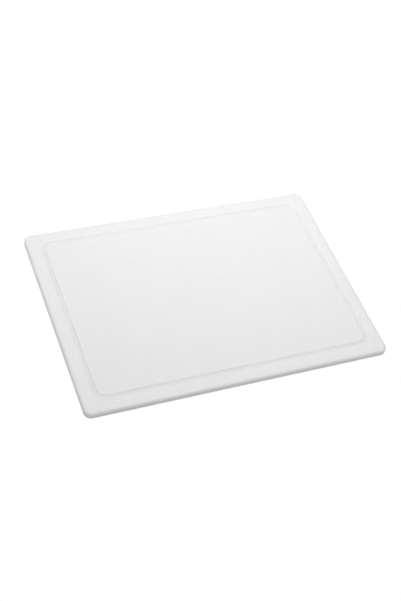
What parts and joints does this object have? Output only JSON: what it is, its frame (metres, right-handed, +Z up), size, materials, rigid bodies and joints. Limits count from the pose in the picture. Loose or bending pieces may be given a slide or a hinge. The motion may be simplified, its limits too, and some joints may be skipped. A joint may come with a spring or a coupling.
{
  "type": "cutting board",
  "caption": "Rectangular white plastic cutting board with rounded edges and corners and a shallow juice groove all round its top face.",
  "frame": {"origin": "centre of the flat underside, which rests on the worktop", "axes": "+X along the length, +Y along the width, +Z up out of the grooved cutting face"},
  "size_m": [0.39, 0.28, 0.01],
  "materials": {
    "board_plastic": "white polyethylene with a fine satin grain"
  },
  "bodies": {
    "root": {"board": "board_plastic"}
  },
  "joints": []
}
